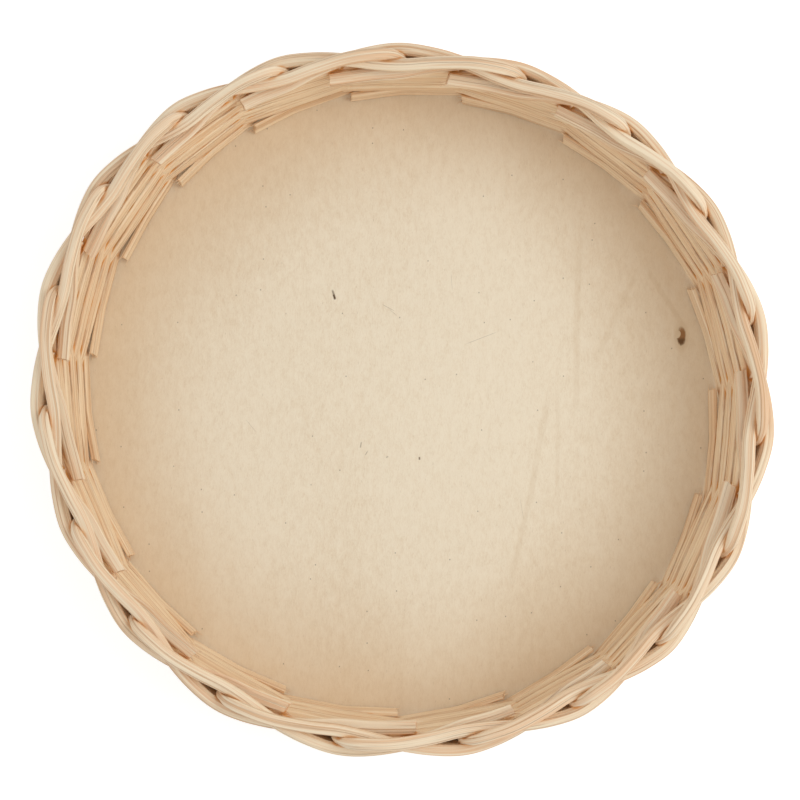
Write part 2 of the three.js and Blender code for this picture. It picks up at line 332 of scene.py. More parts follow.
def faceted(around, along, count, unevenness, rng):
    """Radius of a rounded polygon round a cane, about 1, which turns slowly along it.

    Each side i faces an angle f and lies d from the middle, so a circle is cut back to
    d / cos(angle - f). A high power mean of all the sides rounds the corners.
    """
    facing = 2 * np.pi * (np.arange(count) + rng.uniform(-FACET_SHIFT, FACET_SHIFT, count)) / count
    depth = 1 + unevenness * rng.uniform(-1, 1, count)
    turn = rng.uniform(-FACET_TWIST, FACET_TWIST) * along
    turn = turn + FACET_SWAY * np.sin(rng.uniform(*FACET_SWAY_PACE) * along)
    cosine = np.cos((around + turn)[..., None] - facing)
    radius = (np.clip(cosine, 0, None) / depth) ** CORNER_POWER
    radius = radius.sum(axis=-1) ** (-1 / CORNER_POWER)
    return radius / radius.mean()


class Cane:
    """One length of cane along a line, with a section that can change along it and two cut ends."""

    END_SCALES = (0.9, 0.55)  # of the section, in the rings of points within a cut end
    END_BULGE = 0.04 * MM
    CUT_REACH = 1.5  # widths from an end, over which its points follow the slant of its cut

    def __init__(self, line, sides, rng, offset, lean=0.0):
        self.line = line
        self.rng = rng
        self.way = unit(np.gradient(line, axis=0))
        outward = unit(line * [1, 1, 0]) * math.cos(lean) - np.array([0, 0, math.sin(lean)])
        self.across = unit(outward - (outward * self.way).sum(1, keepdims=True) * self.way)
        self.up = np.cross(self.way, self.across)
        self.run = run_along(line)
        self.around = 2 * np.pi * np.arange(sides) / sides
        self.offset = offset

    def section(self, width, height, squareness, swell):
        """Offsets outward and upward of each ring: a superellipse times a swelling round it.

        A squareness of 2 gives an ellipse and a higher one squares it off.
        """
        power = 2 / np.asarray(squareness, float)[:, None]
        cosine, sine = np.cos(self.around), np.sin(self.around)
        out = width[:, None] / 2 * np.sign(cosine) * np.abs(cosine) ** power * swell
        rise = height[:, None] / 2 * np.sign(sine) * np.abs(sine) ** power * swell
        return out, rise

    def solid(self, out, rise, slants, fray):
        """Vertices, faces, and for each vertex its place in the cane and whether it is on a cut.

        Near an end the points slide along the cane by the slant of its cut. The last ring's slide
        back by up to the fray too.
        """
        reach = self.CUT_REACH * np.ptp(out[0])
        slide = np.zeros_like(out)
        ends = (-1, slants[0], self.run), (1, slants[1], self.run[-1] - self.run)
        for sign, slant, from_end in ends:
            near = np.clip(1 - from_end / reach, 0, 1)[:, None]
            jag = self.rng.uniform(0, fray, len(self.around)) * (near == 1)
            slide = slide + sign * near * (out * slant[0] + rise * slant[1] - jag)
        count = len(self.run)
        inner = len(self.END_SCALES)
        order = [0] * inner + list(range(count)) + [count - 1] * inner
        scale = np.array([*self.END_SCALES[::-1], *[1.0] * count, *self.END_SCALES])[:, None]
        bulge = np.array([-1.0] * inner + [0.0] * count + [1.0] * inner)[:, None] * self.END_BULGE
        out, rise = out[order] * scale, rise[order] * scale
        slide = slide[order] * scale + bulge
        points = (
            self.line[order][:, None] + self.across[order][:, None] * out[..., None]
            + self.up[order][:, None] * rise[..., None] + self.way[order][:, None] * slide[..., None]
        )
        along = self.run[order][:, None] + slide + self.offset
        strand = np.stack([out, rise, along], axis=-1)
        cut = np.broadcast_to(scale < 1, out.shape).astype(float)
        poles = [0, -1]
        return (
            np.concatenate([points.reshape(-1, 3), points[poles].mean(axis=1)]),
            tube_faces(len(order), len(self.around)),
            np.concatenate([strand.reshape(-1, 3), strand[poles].mean(axis=1)]),
            np.concatenate([cut.ravel(), [1, 1]]),
        )


def frays(rng, ring, sense, bend):
    """Places for the loose fibres at a cut end, each with a bend between two bounds."""
    return [(ring, sense, rng.uniform(*FRAY_LENGTH), rng.uniform(*bend)) for _ in range(FRAY_COUNT)]


def stray(rng, sense, rings, lengths, bends):
    """A place for a loose fibre along a cane, some rings from one end, within three bounds."""
    return sense * rng.integers(*rings), sense, rng.uniform(*lengths), rng.uniform(*bends)


def with_loose_fibres(cane, out, rise, solid, places):
    """The solid of a cane, joined by fine tapered fibres that leave its surface and bend away.

    A place is (ring of points, way along the cane, length, bend outward for the length).
    """
    solids = [solid]
    share = np.linspace(0, 1, FIBRE_POINTS)[:, None]
    width = FIBRE_WIDTH * (1 - FIBRE_TAPER * share[:, 0])
    for ring, sense, length, bend in places:
        corner = cane.rng.integers(len(cane.around))
        outward = cane.across[ring] * out[ring, corner] + cane.up[ring] * rise[ring, corner]
        way = sense * cane.way[ring]
        base = cane.line[ring] + FIBRE_DEPTH * outward - FIBRE_ROOT * length * way
        line = base + length * ((1 + FIBRE_ROOT) * share * way + share**2 * bend * unit(outward))
        fibre = Cane(line, FIBRE_SIDES, cane.rng, cane.offset)
        section = fibre.section(width, width, np.full(FIBRE_POINTS, 2.0), 1.0)
        solids.append(fibre.solid(*section, np.zeros((2, 2)), 0))
    vertices, strand, cut = (np.concatenate([part[column] for part in solids]) for column in (0, 2, 3))
    starts = np.cumsum([0] + [len(part[0]) for part in solids[:-1]]).tolist()
    faces = [[c + start for c in face] for start, part in zip(starts, solids) for face in part[1]]
    return vertices, faces, strand, cut


def wander(along, size, pace, rng):
    """A slow, seeded wandering along a cane: three sines of unlike pace."""
    total = np.zeros_like(along)
    for times in (1.0, 1.7, 2.9):
        total += np.sin(times * pace * along + rng.uniform(0, 2 * np.pi)) / times
    return size * total / 1.5


def eased(share):
    """A share from 0 to 1 that starts and stops smoothly."""
    share = np.clip(share, 0, 1)
    return share * share * (3 - 2 * share)


# Rods

ROD_STEP = 1.0 * MM
ROD_FACETS = 7
ROD_UNEVENNESS = 0.05  # of its radius, that its facets differ by
ROD_RIDGES = ((5, 0.008), (9, 0.010), (14, 0.006))  # (number round it, share of its radius)
ROD_SEED = 100
ROD_PATTERN_STEP = 1.37  # metres along the wood's pattern, from one rod to the next
ROD_WIDTH_WANDER = (0.03, 90)  # of the width, and radians for each metre
ROD_HEIGHT_WANDER = (0.025, 90)
WIDTH_FILL, HEIGHT_FILL = 2.5, 0.9  # of a clearance, by which a rod is larger than its solid
ROD_SQUARENESS = 2.2
TAIL_SQUARENESS = 3.8
TAIL_REACH = 62 * MM  # from a rod's cut end to where it lies on the other rods
TAIL_TURN = 0.6  # of that reach, over which the rod becomes a tail
TAIL_TRIM = (-0.14, 0.06)  # of a gap, cut off or left on
TAIL_SHIFT = (-0.04, 0.05)  # of a rod's pitch, outward
TAIL_WIDENING = (-0.07, 0.16)
TAIL_FLATTENING = 0.2
ROD_CUT_SLANT = 0.35  # the steepest slope of a cut
ROD_JAG = 0.45 * MM
ROD_FRAY_BEND = (-0.2, 0.8)
ROD_STRAY = ((20, 60), (4 * MM, 8 * MM), (0.2, 0.5))  # rings from the tail's end, length and bend


def rod_line(wall, stake, rng):
    """The centre line of one rod: foot, upright and border strand."""

    def route(path, floor):
        gaps, widths, heights = np.array(path, float).T
        return wall.place(stake + gaps, widths * wall.pitch_out, floor + heights * wall.pitch_up)

    foot = route(FOOT_PATH, wall.foot_z)
    parts = np.linspace(BOARD_TOP, wall.border, UPRIGHT_PARTS + 1)
    upright = wall.place(stake, 0, np.concatenate([[BOARD_BOTTOM], parts]))
    border = np.array(BORDER_PATH, float)
    border[-1, 0] += rng.uniform(*TAIL_TRIM)
    border[-2:, 1] += rng.uniform(*TAIL_SHIFT)
    return smooth_line(np.concatenate([foot, upright, route(border, wall.border)]), ROD_STEP)


def rod_mesh(wall, stake):
    """Vertices, faces and surface attributes of one rod."""
    rng = np.random.default_rng(ROD_SEED + stake)
    sizes = wall.sizes
    cane = Cane(rod_line(wall, stake, rng), CANE_SIDES, rng, stake * ROD_PATTERN_STEP)
    gaps, widths, heights = SQUEEZED_POINT
    squeezed = wall.place(
        stake + gaps, widths * wall.pitch_out, wall.border + heights * wall.pitch_up
    )
    full = np.clip(np.linalg.norm(cane.line - squeezed, axis=1) / sizes.squeeze_reach, 0, 1)
    tail = eased((cane.run - cane.run[-1] + TAIL_REACH) / (TAIL_TURN * TAIL_REACH))
    width = sizes.rod_width + sizes.clearance * WIDTH_FILL
    width = width - (sizes.rod_width - sizes.squeezed_width) * (1 - full)
    height = sizes.rod_height + sizes.clearance * HEIGHT_FILL
    width = width * (1 + wander(cane.run, *ROD_WIDTH_WANDER, rng))
    width = width * (1 + tail * rng.uniform(*TAIL_WIDENING))
    height = height * (1 + wander(cane.run, *ROD_HEIGHT_WANDER, rng)) * (1 - TAIL_FLATTENING * tail)
    around, along = cane.around[None, :], cane.run[:, None]
    facets = faceted(around, along, ROD_FACETS, ROD_UNEVENNESS, rng)
    swell = facets + ripple(around, along, ROD_RIDGES, rng)
    squareness = ROD_SQUARENESS + (TAIL_SQUARENESS - ROD_SQUARENESS) * tail
    out, rise = cane.section(width, height, squareness, swell)
    slants = rng.uniform(-ROD_CUT_SLANT, ROD_CUT_SLANT, (2, 2))
    solid = cane.solid(out, rise, slants, ROD_JAG)
    # Every second rod has a stray fibre too.
    loose = [*frays(rng, -1, 1, ROD_FRAY_BEND), stray(rng, -1, *ROD_STRAY)][:FRAY_COUNT + stake % 2]
    solid = with_loose_fibres(cane, out, rise, solid, loose)
    solid[0][:, 2] = np.maximum(solid[0][:, 2], 0)
    return solid


# Weavers

WEAVER_STEP = 1.3 * MM
WEAVER_RIDGES = ((7, 0.010), (11, 0.012), (16, 0.012))
WEAVER_SEED = 300
WEAVER_PATTERN_START = 40  # metres along the wood's pattern, past the rods' part of it
WEAVER_PATTERN_STEP = 1.91
BEARING = 0.1  # of a gap, on each side of a stake, that a weaver lies on it
CROSSING = 0.14  # of a gap, on each side of its middle, where weavers cross
START_OVERLAP = 0.46  # of a gap, that the free end reaches past the first stake
END_OVERLAP = 0.5  # of a gap, that the other end goes on past the last one
ROW_UNEVENNESS = 0.5 * MM
START_LEAN = 1.3 * MM  # how far the free end stands inward from the wall
FINE_TURN = 0.004  # of a gap, from point to point before a line is cut into even steps
CORNER_REACH = 12  # of those points, on each side of one, over which a corner is rounded
THICKNESS_WANDER = (0.05, 60)
TALLNESS_WANDER = (0.02, 60)
TALLNESS_RANGE = (0.95, 1.04)  # from weaver to weaver
WEAVER_SQUARENESS = 5.0
WEAVER_CUT_SLANT = 0.25
WEAVER_JAG = 0.5 * MM
WEAVER_FRAY_BEND = (0.0, 1.2)
WEAVER_STRAY = ((8, 300), (5 * MM, 10 * MM), (0.2, 0.6))  # rings from the free end, length and bend


def weaver_line(wall, stake, rng):
    """The centre line of one weaver, and how many stakes it has passed at each point.

    It is straight between its bearings on two stakes, and follows the wall on a bearing.
    A running mean rounds its corners.
    """
    passed_stakes, pitch = wall.sizes.passed_stakes, wall.sizes.row_pitch
    stakes = np.arange(passed_stakes + 1)
    outside = stakes[stakes % 2 == 1]
    marks = np.sort(np.concatenate([stakes, outside - BEARING, outside + BEARING]))
    offsets = -wall.weave_offset * np.cos(np.pi * np.round(marks))
    marks = np.concatenate([[-START_OVERLAP], marks])
    offsets = np.concatenate([[offsets[0] - START_LEAN], offsets])
    heights = wall.first_row + np.maximum(marks, 0) * pitch
    heights[2:] += rng.uniform(-ROW_UNEVENNESS, ROW_UNEVENNESS, len(marks) - 2)
    corners = wall.place(
        stake - marks, offsets * math.cos(wall.slant), heights - offsets * math.sin(wall.slant)
    )
    # One more corner before the free end, and one after the last bearing, on the next stake.
    beyond = passed_stakes + 1
    after = wall.place(
        stake - beyond, wall.weave_offset * math.cos(np.pi * passed_stakes),
        wall.first_row + beyond * pitch,
    )
    before = corners[0] + (corners[0] - corners[1]) / (marks[1] - marks[0])
    marks = np.concatenate([[marks[0] - 1], marks, [beyond]])
    corners = np.concatenate([before[None], corners, after[None]])
    fine = np.arange(-START_OVERLAP, passed_stakes + END_OVERLAP, FINE_TURN)
    padded = np.arange(-CORNER_REACH, len(fine) + CORNER_REACH) * FINE_TURN + fine[0]
    window = np.ones(2 * CORNER_REACH + 1) / (2 * CORNER_REACH + 1)
    mean = np.stack([
        np.convolve(np.interp(padded, marks, corners[:, axis]), window, "valid") for axis in range(3)
    ], axis=1)
    steps = even_steps(mean, WEAVER_STEP)
    run = run_along(mean)
    passed = np.interp(np.linspace(0, run[-1], len(steps)), run, fine)
    return steps, passed


def weaver_mesh(wall, stake):
    """Vertices, faces and surface attributes of one weaver.

    Its section goes smoothly from flat where it bears on a stake to squarer where weavers cross.
    """
    rng = np.random.default_rng(WEAVER_SEED + stake)
    sizes = wall.sizes
    line, passed = weaver_line(wall, stake, rng)
    offset = WEAVER_PATTERN_START + stake * WEAVER_PATTERN_STEP
    cane = Cane(line, CANE_SIDES, rng, offset, lean=wall.slant)
    away = np.abs(passed - np.round(np.maximum(passed, 0)))
    turn = eased((away - BEARING) / (0.5 - CROSSING - BEARING)) * (passed > 0)
    thick = sizes.pressed_thickness + (sizes.crossing_thickness - sizes.pressed_thickness) * turn
    tall = sizes.pressed_height + (sizes.crossing_height - sizes.pressed_height) * turn
    thick = thick * (1 + wander(cane.run, *THICKNESS_WANDER, rng))
    tall = tall * (1 + wander(cane.run, *TALLNESS_WANDER, rng)) * rng.uniform(*TALLNESS_RANGE)
    ridges = ripple(cane.around[None, :], cane.run[:, None], WEAVER_RIDGES, rng)
    out, rise = cane.section(thick, tall, np.full(len(thick), WEAVER_SQUARENESS), 1 + ridges)
    slants = rng.uniform(-WEAVER_CUT_SLANT, WEAVER_CUT_SLANT, (2, 2))
    solid = cane.solid(out, rise, slants, WEAVER_JAG)
    loose = [*frays(rng, 0, -1, WEAVER_FRAY_BEND), stray(rng, 1, *WEAVER_STRAY)]
    return with_loose_fibres(cane, out, rise, solid, loose)


# Board

HOLE_PLAY = 0.45 * MM
FLAT_RADIUS_SHARE = 0.85  # of the board's radius, inside the ring of sectors with holes
RAYS_ALONG = 12  # points along a sector's arcs, and along its sides
RAYS_OUT = 8
SECTOR_RINGS = np.linspace(0, 1, 4)  # from a hole's edge to its sector's outline
DISC_RINGS = np.array([1.0, 0.6, 0.25, 0.02])  # of the flat's radius
EDGE_ROUND = 0.35 * MM
EDGE_POINTS = 5
JOINED = 0.002 * MM  # points closer than this are one


def sector_rays(wall, stake, inner, outer):
    """The outline of one sector of the board, and the edge of its hole seen along the same rays."""
    low, high = stake_angle([stake - 0.5, stake + 0.5])
    corners = [(inner, low), (inner, high), (outer, high), (outer, low)]
    radius, angle = np.concatenate([
        np.linspace(corners[side - 1], corners[side], count, endpoint=False)
        for side, count in zip((1, 2, 3, 0), (RAYS_ALONG, RAYS_OUT) * 2)
    ]).T
    outline = np.stack([radius * np.cos(angle), radius * np.sin(angle)], axis=1)
    centre = wall.place(stake, 0, BOARD_TOP)[:2]
    hole = centre + unit(outline - centre) * (wall.sizes.rod_width / 2 + HOLE_PLAY)
    return outline, hole


def board_piece(wall):
    """The board: a ring of sectors, each with its hole, round a flat disc, with a rounded rim."""
    inner = FLAT_RADIUS_SHARE * BOARD_RADIUS
    outer = BOARD_RADIUS - EDGE_ROUND
    points, faces = [], []

    def add(grid):
        start = sum(len(block) for block in points)
        points.append(grid.reshape(-1, 3))
        faces.extend(grid_faces(*grid.shape[:2], start))

    def flat(grid, height):
        return np.concatenate([grid, np.full((*grid.shape[:-1], 1), height)], axis=-1)

    shares = SECTOR_RINGS[:, None, None]
    for stake in range(STAKE_COUNT):
        outline, hole = sector_rays(wall, stake, inner, outer)
        sector = hole * (1 - shares) + outline * shares
        add(flat(sector, BOARD_TOP))
        add(flat(sector, BOARD_BOTTOM))
        add(np.stack([flat(hole, BOARD_TOP), flat(hole, BOARD_BOTTOM)]))
    angles = np.concatenate([
        np.linspace(*stake_angle([stake - 0.5, stake + 0.5]), RAYS_ALONG, endpoint=False)
        for stake in range(STAKE_COUNT)
    ])
    ring = np.stack([np.cos(angles), np.sin(angles)], axis=1)
    disc = ring * (inner * DISC_RINGS)[:, None, None]
    add(flat(disc, BOARD_TOP))
    add(flat(disc, BOARD_BOTTOM))
    bend = np.linspace(0, np.pi / 2, EDGE_POINTS)
    drop = EDGE_ROUND * (1 - np.cos(bend))
    reach = outer + EDGE_ROUND * np.sin(bend)
    rim = [(reach, BOARD_TOP - drop), (reach[::-1], BOARD_BOTTOM + drop[::-1])]
    add(np.stack([flat(ring * out, height) for side in rim for out, height in zip(*side)]))
    piece = finish_mesh("plywood_board", np.concatenate(points), faces, sharp=BOARD_SHARP)
    close_mesh(piece.data)
    return piece


def close_mesh(mesh):
    """Joins the points that grids share, fills the poles and turns every face outwards."""
    shell = bmesh.new()
    shell.from_mesh(mesh)
    bmesh.ops.remove_doubles(shell, verts=shell.verts, dist=JOINED)
    open_edges = [edge for edge in shell.edges if edge.is_boundary]
    bmesh.ops.holes_fill(shell, edges=open_edges, sides=0)
    bmesh.ops.recalc_face_normals(shell, faces=shell.faces)
    shell.to_mesh(mesh)
    shell.free()
    mesh.set_sharp_from_angle(angle=math.radians(BOARD_SHARP))


# Nooks, where the canes' surfaces are crowded and their finish paints shade

CELL = 0.75 * MM
MARGIN = 8  # cells round the canes
FELT = 1.2 * MM  # how far off a surface its crowding is felt
# Bounds of the painted shade in the nooks, for rods and for weavers.
ROD_NOOK_SHADE = (0.27, 0.58)  # crowding where a rod's nooks begin, and deep inside
WEAVER_NOOK_SHADE = (0.38, 0.70)


def gathered(items, name, width):
    """One property of all the items, a row for each."""
    values = np.empty(len(items) * width)
    items.foreach_get(name, values)
    return values.reshape(-1, width)


class Crowd:
    """How much surface lies round a point, as the area in cubic cells, blurred over five of them."""

    def __init__(self, places, areas):
        self.low = places.min(axis=0) - MARGIN * CELL
        shape = np.ceil((places.max(axis=0) - self.low) / CELL).astype(int) + MARGIN
        cells = ((places - self.low) / CELL).astype(int)
        cell = np.ravel_multi_index(tuple(cells.T), shape)
        field = np.bincount(cell, areas, shape.prod()).reshape(shape).astype(np.float32)
        for axis in (0, 1, 2, 0, 1, 2):
            field = (field + np.roll(field, 1, axis) + np.roll(field, -1, axis)) / 3
        self.field = field / (CELL**2)

    def at(self, points):
        """The crowding at points, each between the eight cells round it."""
        spots = (points - self.low) / CELL - 0.5
        base = np.floor(spots).astype(int)
        part = spots - base
        return sum(
            np.prod(np.where(corner, part, 1 - part), axis=1) * self.field[tuple((base + corner).T)]
            for corner in np.ndindex(2, 2, 2)
        )


def mark_crowding(canes):
    """Marks each vertex of the canes with the crowding a little way off its surface."""
    meshes = [cane.data for cane in canes]
    places = np.concatenate([gathered(mesh.polygons, "center", 3) for mesh in meshes])
    areas = np.concatenate([gathered(mesh.polygons, "area", 1) for mesh in meshes])
    crowd = Crowd(places, areas[:, 0])
    for mesh in meshes:
        felt = gathered(mesh.vertices, "co", 3) + FELT * gathered(mesh.vertices, "normal", 3)
        mark(mesh, "crowding", crowd.at(felt))


# Finishes


class Field:
    """A number that varies over a surface. Python's operators on it add Math nodes."""

    def __init__(self, finish, socket):
        self.finish = finish
        self.socket = socket

    def math(self, operation, *values):
        """Adds a Math node."""
        inputs = dict(enumerate(values))
        return self.finish.node("Math", {"operation": operation}, inputs)

    def __add__(self, other):
        return self.math("ADD", self, other)

    def __sub__(self, other):
        return self.math("SUBTRACT", self, other)

    def __mul__(self, other):
        return self.math("MULTIPLY", self, other)

    def __truediv__(self, other):
        return self.math("DIVIDE", self, other)

    def __pow__(self, other):
        return self.math("POWER", self, other)

    def size(self):
        """The number without its sign."""
        return self.math("ABSOLUTE", self)

    def between(self, low, high):
        """0 below low, 1 above high and smooth between. It falls instead where low is above high."""
        inputs = {"Value": self, "From Min": low, "From Max": high}
        return self.finish.node("MapRange", {"interpolation_type": "SMOOTHSTEP"}, inputs)


class Finish:
    """A material with a Principled shader, and the nodes that vary it over the surface."""

    def __init__(self, name, specular=0.35):
        self.material = bpy.data.materials.new(name)
        self.material.use_nodes = True
        self.tree = self.material.node_tree
        self.shader = self.tree.nodes["Principled BSDF"]
        self.shader.inputs["Specular IOR Level"].default_value = specular

    def node(self, kind, options=None, inputs=None, output=0):
        """Adds a node, sets its options, then sets or links its sockets, and gives one output."""
        made = self.tree.nodes.new("ShaderNode" + kind)
        for name, value in (options or {}).items():
            setattr(made, name, value)
        for name, value in (inputs or {}).items():
            self.feed(made.inputs[name], value)
        return Field(self, made.outputs[output])

    def feed(self, socket, value):
        """Links a field to a socket, or sets the socket to a plain value."""
        if isinstance(value, Field):
            self.tree.links.new(value.socket, socket)
        else:
            socket.default_value = value

    def vary(self, **inputs):
        """Sets or links sockets of the Principled shader. Spaces in their names are underscores."""
        for name, value in inputs.items():
            self.feed(self.shader.inputs[name.replace("_", " ")], value)

    def mix(self, share, first, second):
        """One colour turning into another. A Mix node numbers its sockets for colours so."""
        inputs = {0: share, 6: first, 7: second}
        return self.node("Mix", {"data_type": "RGBA"}, inputs, output=2)

    def stretched(self, place, scale, shift=(0, 0, 0)):
        """A place scaled along each axis, so that a pattern on it is drawn out along the wood."""
        return self.node("Mapping", {}, {"Vector": place, "Scale": scale, "Location": shift})

    def noise(self, place, scale, detail=2.0, roughness=0.5, distortion=0.0, shift=(0, 0, 0)):
        """Noise from 0 to 1 over a place, with a scale for each axis in features per metre."""
        return self.node("TexNoise", {}, {
            "Vector": self.stretched(place, scale, shift), "Scale": 1.0, "Detail": detail,
            "Roughness": roughness, "Distortion": distortion,
        })

    def bump(self, height, distance, strength=1.0):
        """A fine relief in the shading only."""
        return self.node("Bump", {}, {"Height": height, "Distance": distance, "Strength": strength})


def linear(colour):
    """A screen colour as the linear values that a shader takes."""
    value = np.asarray(colour, float)
    low, high = value / 12.92, ((value + 0.055) / 1.055) ** 2.4
    return (*np.where(value <= 0.04045, low, high), 1.0)


def tinted(colour, factors):
    """The same colour times one factor, or one for each channel."""
    return (*np.multiply(colour[:3], factors), 1.0)


FINE_CONTRAST = 2.6  # of the fibres and streaks, between a cane's two colours
TONE_CONTRAST = 2.0  # of its slow changes of tone
LINE_TINT = (0.78, 0.62, 0.45)
# The warm brown of the painted shade in the canes' nooks.
NOOK_SHADE_TINT = (0.95, 0.65, 0.21)


def cane_finish(name, main, streak, contrast, nooks):
    """Peeled or split cane: fine fibres and long streaks along it, and slow changes of tone.

    The nooks are the crowding where its painted brown shade begins and where it is full.
    """
    finish = Finish(name)
    place = finish.node("Attribute", {"attribute_name": "strand"}, output=1)
    cut = finish.node("Attribute", {"attribute_name": "cut"}, output=2)
    crowding = finish.node("Attribute", {"attribute_name": "crowding"}, output=2)
    fibres = finish.noise(place, (2200, 2200, 20), roughness=0.7)
    streaks = finish.noise(place, (1050, 1050, 8), roughness=0.65, shift=(3, 5, 0))
    tone = finish.noise(place, (150, 150, 16), shift=(7, 1, 0))
    lines = finish.noise(place, (1400, 1400, 6), detail=1.0, shift=(1, 9, 4)).between(0.59, 0.67)
    fine = FINE_CONTRAST * contrast
    share = (fibres - 0.5) * fine + (streaks - 0.5) * fine + (tone - 0.5) * TONE_CONTRAST
    share = share + 0.38
    colour = finish.mix(share.between(-0.1, 1.1), main, streak)
    colour = finish.mix(lines * 0.5, colour, tinted(streak, LINE_TINT))
    colour = finish.mix(cut * 0.35, colour, tinted(streak, 0.95))
    # Painted shade: the crowded nooks turn a darker, warmer brown.
    colour = finish.mix(crowding.between(*nooks) * 0.85, colour, tinted(streak, NOOK_SHADE_TINT))
    finish.vary(Base_Color=colour, Roughness=fibres * 0.25 + 0.5)
    height = fibres * 0.5 + streaks * 0.8 - lines * 0.6
    finish.vary(Normal=finish.bump(height, 0.35 * MM))
    return finish.material


# Marks on the board, each with its place from the middle in millimetres

KNOT_PLACE = (119.7, 28.8)
KNOT_SIZE = (1.75, 3.7)
KNOT_TINT = (0.39, 0.20, 0.05)
HALO_TINT = (0.82, 0.74, 0.58)
BITE_PLACE = (118.0, 29.8)  # the hollow of the knot's crescent
BITE_SIZE = (1.5, 1.7)
# Painted light: the board's middle is paler, as in a pool of light.
PAINTED_LIGHT_RADII = (0.147, 0.068)  # in metres, where the pale middle ends and where it is full
# Dark strokes: place, length, width, degrees from +X, depth of colour.
STROKES = (
    (-29.5, 44.9, 5, 1.2, 110, 0.7), (-29.3, 43.9, 3, 1.3, 106, 1), (-17, -19.5, 3.2, 0.8, 80, 0.45),
    (-14.6, -23, 2.4, 0.6, 60, 0.35), (-5.7, -24.5, 1.2, 0.7, 20, 0.45), (8.1, -24.9, 1.5, 1, 90, 0.8),
    (-6, 39.5, 7, 0.35, 152, 0.35), (-4, 37.5, 5, 0.3, 140, 0.3), (34, 27, 17, 0.35, 22, 0.28),
    (21, 51, 9, 0.3, 95, 0.2), (-64, -12, 8, 0.35, 130, 0.2), (52, -46, 11, 0.3, 100, 0.2),
)
# Lines of the wood's figure, fainter and wider than the marks.
FIGURE = (
    (75, 34, 90, 4.5, 88, 0.2), (55, -38, 100, 4, 82, 0.17), (115, 46, 34, 3, 118, 0.3),
    (98, 44, 34, 4, 62, 0.18), (91, 30, 40, 5, 60, 0.12), (66, -18, 60, 3, 94, 0.12),
)


def stroke(across, along, mark):
    """Share of a short straight mark: 1 on its line and smoothly 0 past its width and its length."""
    x, y, length, width, degrees, depth = mark
    angle = math.radians(degrees)
    right, upward = across - x * MM, along - y * MM
    lengthwise = (right * math.cos(angle) + upward * math.sin(angle)).size()
    crosswise = (upward * math.cos(angle) - right * math.sin(angle)).size()
    ends = lengthwise.between(length / 2 * MM, length / 4 * MM)
    sides = crosswise.between(width / 2 * MM, width / 6 * MM)
    return ends * sides * depth


def blot(across, along, place, size):
    """0 in the middle of an ellipse, 1 on its edge and more outside it."""
    right, upward = across - place[0] * MM, along - place[1] * MM
    return (right / (size[0] * MM)) ** 2.0 + (upward / (size[1] * MM)) ** 2.0


def strongest(shares):
    """The greatest of several shares."""
    total, *others = shares
    for share in others:
        total = total.math("MAXIMUM", total, share)
    return total


def board_finish(colours):
    """Plywood: short fine grain along Y, a paler middle of painted light, pores, a knot and a few old
    marks.
    """
    finish = Finish("plywood", specular=0.3)
    place = finish.node("TexCoord", output=3)
    across = finish.node("SeparateXYZ", {}, {"Vector": place})
    along = Field(finish, across.socket.node.outputs[1])
    grain = finish.noise(place, (1700, 520, 1700), detail=3.0, roughness=0.75, distortion=0.8)
    mottle = finish.noise(place, (330, 170, 330), detail=4.0, roughness=0.7, shift=(4, 1, 2))
    broad = finish.noise(place, (16, 5, 16), distortion=0.4, shift=(1, 6, 0))
    main, dark, painted_light = (linear(c) for c in (colours.board, colours.board_grain, colours.board_painted_light))
    mark_colour = linear(colours.knot)
    distance = (across * across + along * along) ** 0.5
    # Painted light: the middle is paler, as in a pool of light, and the board darker towards the wall.
    middle = (distance + (broad - 0.5) * 0.04 + (mottle - 0.5) * 0.02).between(*PAINTED_LIGHT_RADII)
    colour = finish.mix(middle, main, painted_light)
    share = (grain - 0.5) * 1.25 + (mottle - 0.5) * 0.75 + (broad - 0.5) * 0.4 + 0.3
    colour = finish.mix(share.between(0.0, 1.2) * 0.8, colour, dark)
    pores = finish.noise(place, (2200, 420, 2200), detail=1.0, shift=(2, 4, 1)).between(0.72, 0.78)
    colour = finish.mix(pores * 0.3, colour, tinted(dark, 0.7))
    dots = finish.node(
        "TexVoronoi", {"voronoi_dimensions": "2D"},
        {"Vector": finish.stretched(place, (85, 70, 85)), "Scale": 1.0},
    )
    cell = Field(finish, dots.socket.node.outputs[1])
    chance = finish.node("SeparateColor", {}, {"Color": cell})
    specks = dots.between(0.030, 0.014) * chance.between(0.72, 0.80)
    colour = finish.mix(specks * 0.5, colour, mark_colour)
    bent = across + (broad - 0.5) * 0.03
    lines = strongest(stroke(bent, along, mark) for mark in FIGURE)
    colour = finish.mix(lines * (mottle + 0.5), colour, tinted(dark, 0.96))
    marks = strongest(stroke(across, along, mark) for mark in STROKES) * (grain * 0.8 + 0.6)
    uneven = (mottle - 0.5) * 1.6 + (grain - 0.5) * 0.8
    whole = blot(across, along, KNOT_PLACE, KNOT_SIZE) + uneven
    bite = blot(across, along, BITE_PLACE, BITE_SIZE) + uneven
    low = along.between(KNOT_PLACE[1] * MM, (KNOT_PLACE[1] - KNOT_SIZE[1] / 2) * MM)
    knot = whole.between(1.5, 0.5) * bite.between(0.7, 1.3)
    colour = finish.mix(whole.between(5.0, 0.8) * 0.3, colour, tinted(dark, HALO_TINT))
    colour = finish.mix(knot * 0.88, colour, tinted(dark, KNOT_TINT))
    colour = finish.mix(strongest([marks, knot * low * 0.8]), colour, mark_colour)
    finish.vary(Base_Color=colour, Roughness=grain * 0.12 + 0.62)
    finish.vary(Normal=finish.bump(grain * 0.7 + mottle * 0.3 - pores * 0.5, 0.08 * MM, 0.8))
    return finish.material


# Operators

ROD_CONTRAST = 1.0  # of the fine pattern in a finish
WEAVER_CONTRAST = 1.2


